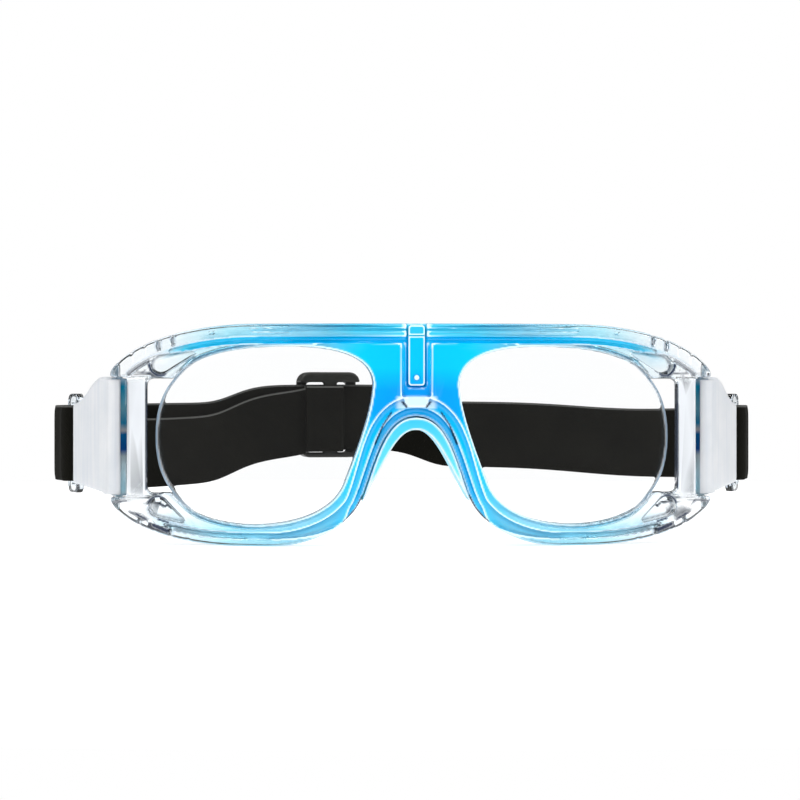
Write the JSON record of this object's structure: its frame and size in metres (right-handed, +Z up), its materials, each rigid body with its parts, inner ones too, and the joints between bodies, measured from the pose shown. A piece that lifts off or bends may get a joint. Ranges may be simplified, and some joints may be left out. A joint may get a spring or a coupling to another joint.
{
  "type": "sports protective goggles",
  "caption": "Wraparound sports goggles with a blue-tinted bridge, clear lenses, hinged temple arms in soft sleeves, and an adjustable elastic head strap.",
  "frame": {"origin": "on the surface that the goggles stand on, under the middle of the whole object's box", "axes": "+X towards the wearer's left, -Y the way the lenses face, +Z up"},
  "size_m": [0.1904, 0.159, 0.056],
  "materials": {
    "tinted_frame": "polished clear polycarbonate with a blue tint that is strongest at the bridge",
    "lens": "clear hard-coated polycarbonate",
    "arm_clear": "polished clear polycarbonate",
    "soft_clear": "translucent soft silicone",
    "soft_white": "milky satin silicone",
    "pin_blue": "smooth blue plastic",
    "webbing": "black woven elastic",
    "slider_black": "satin black moulded plastic"
  },
  "bodies": {
    "frame": {"front_frame": "tinted_frame", "bridge_clip": "tinted_frame", "lens_left": "lens", "lens_right": "lens", "nose_pad": "soft_clear", "hinge_pin_left": "pin_blue", "hinge_pin_right": "pin_blue", "strap_band": "webbing", "strap_return": "webbing"},
    "arm_left": {"arm_left": "arm_clear", "sleeve_left": "soft_white", "strap_end_left": "webbing"},
    "arm_right": {"arm_right": "arm_clear", "sleeve_right": "soft_white", "strap_end_right": "webbing"},
    "slider": {"slider": "slider_black", "slider_loop": "webbing"}
  },
  "joints": [
    {"name": "arm_left_hinge", "type": "hinge", "parent": "frame", "child": "arm_left", "pos_m": [0.0754, -0.05729, 0.0273], "axis": [0, 0, 1], "range_deg": [-6, 75]},
    {"name": "arm_right_hinge", "type": "hinge", "parent": "frame", "child": "arm_right", "pos_m": [-0.0754, -0.05729, 0.0273], "axis": [0, 0, -1], "range_deg": [-6, 75]},
    {"name": "slider_travel", "type": "hinge", "parent": "frame", "child": "slider", "pos_m": [0, -0.01807, 0.0295], "axis": [0, 0, -1], "range_deg": [-7, 7]}
  ]
}
